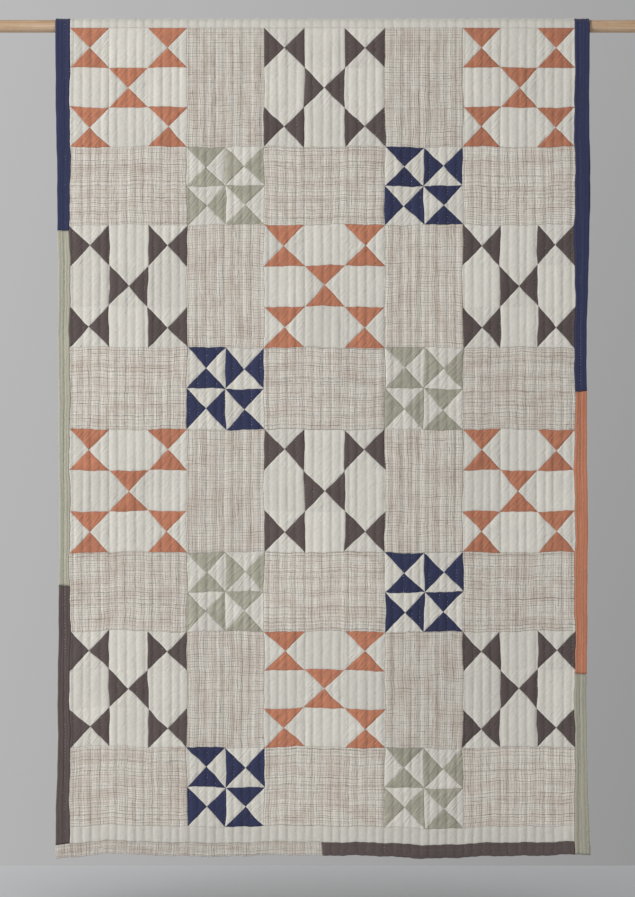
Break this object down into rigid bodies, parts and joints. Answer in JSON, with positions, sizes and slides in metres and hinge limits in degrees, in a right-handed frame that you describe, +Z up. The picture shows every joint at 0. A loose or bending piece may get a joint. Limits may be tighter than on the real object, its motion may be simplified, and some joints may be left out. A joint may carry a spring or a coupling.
{
  "type": "quilt hung over a pole",
  "caption": "Patchwork quilt with padded upright channel quilting, folded over a round wooden pole by a tacked rod pocket and hanging full length.",
  "frame": {"origin": "the pole's axis at the middle of its length", "axes": "+X along the pole to its right end, the face of the quilt looks along -Y, +Z up"},
  "size_m": [1.829, 0.0396, 2.1313],
  "materials": {
    "pole_wood": "bare, sanded",
    "white_cotton": "matte plain weave",
    "plaid_cotton": "matte cream with thin grey and brown checks",
    "coral_cotton": "matte plain weave",
    "charcoal_cotton": "matte plain weave",
    "sage_cotton": "matte plain weave",
    "navy_cotton": "matte plain weave",
    "batting": "soft needled cotton",
    "backing_cotton": "matte plain weave"
  },
  "bodies": {
    "pole": {"pole": "pole_wood"},
    "quilt_top": {"backing_top": "backing_cotton", "batting_top": "batting", "binding_left_navy_top": "navy_cotton", "binding_pocket_edge": "plaid_cotton", "binding_right_navy_top": "navy_cotton", "block_r1_c1_coral_head": "coral_cotton", "block_r1_c3_charcoal_head": "charcoal_cotton", "block_r1_c5_coral_head": "coral_cotton", "border_top": "white_cotton", "plaid_row_1_head": "plaid_cotton"},
    "quilt_upper": {"backing_upper": "backing_cotton", "batting_upper": "batting", "binding_left_navy_upper": "navy_cotton", "binding_left_sage_upper": "sage_cotton", "binding_right_navy_upper": "navy_cotton", "block_r1_c1_coral": "coral_cotton", "block_r1_c3_charcoal": "charcoal_cotton", "block_r1_c5_coral": "coral_cotton", "block_r2_c2_sage": "sage_cotton", "block_r2_c4_navy": "navy_cotton", "block_r3_c1_charcoal": "charcoal_cotton", "block_r3_c3_coral": "coral_cotton", "block_r3_c5_charcoal": "charcoal_cotton", "plaid_row_1": "plaid_cotton", "plaid_row_2": "plaid_cotton", "plaid_row_3": "plaid_cotton"},
    "quilt_middle": {"backing_middle": "backing_cotton", "batting_middle": "batting", "binding_left_charcoal_middle": "charcoal_cotton", "binding_left_sage_middle": "sage_cotton", "binding_right_coral_middle": "coral_cotton", "binding_right_navy_middle": "navy_cotton", "block_r4_c2_navy": "navy_cotton", "block_r4_c4_sage": "sage_cotton", "block_r5_c1_coral": "coral_cotton", "block_r5_c3_charcoal": "charcoal_cotton", "block_r5_c5_coral": "coral_cotton", "block_r6_c2_sage": "sage_cotton", "block_r6_c4_navy": "navy_cotton", "plaid_row_4": "plaid_cotton", "plaid_row_5": "plaid_cotton", "plaid_row_6": "plaid_cotton"},
    "quilt_lower": {"backing_lower": "backing_cotton", "batting_lower": "batting", "binding_hem_charcoal": "charcoal_cotton", "binding_hem_plaid": "plaid_cotton", "binding_left_charcoal_lower": "charcoal_cotton", "binding_right_coral_lower": "coral_cotton", "binding_right_sage_lower": "sage_cotton", "block_r7_c1_charcoal": "charcoal_cotton", "block_r7_c3_coral": "coral_cotton", "block_r7_c5_charcoal": "charcoal_cotton", "block_r8_c2_navy": "navy_cotton", "block_r8_c4_sage": "sage_cotton", "border_bottom": "white_cotton", "plaid_row_7": "plaid_cotton", "plaid_row_8": "plaid_cotton"}
  },
  "joints": [
    {"name": "quilt_slide", "type": "slide", "parent": "pole", "child": "quilt_top", "axis": [1, 0, 0], "range_m": [-0.16, 0.16]},
    {"name": "drop_swing", "type": "hinge", "parent": "quilt_top", "child": "quilt_upper", "pos_m": [0, -0.01798, -0.10817], "axis": [-1, 0, 0], "range_deg": [-30, 70]},
    {"name": "fold_upper", "type": "hinge", "parent": "quilt_upper", "child": "quilt_middle", "pos_m": [0, -0.01798, -0.8195], "axis": [-1, 0, 0], "range_deg": [-45, 75]},
    {"name": "fold_lower", "type": "hinge", "parent": "quilt_middle", "child": "quilt_lower", "pos_m": [0, -0.01798, -1.5405], "axis": [-1, 0, 0], "range_deg": [-60, 75]}
  ]
}
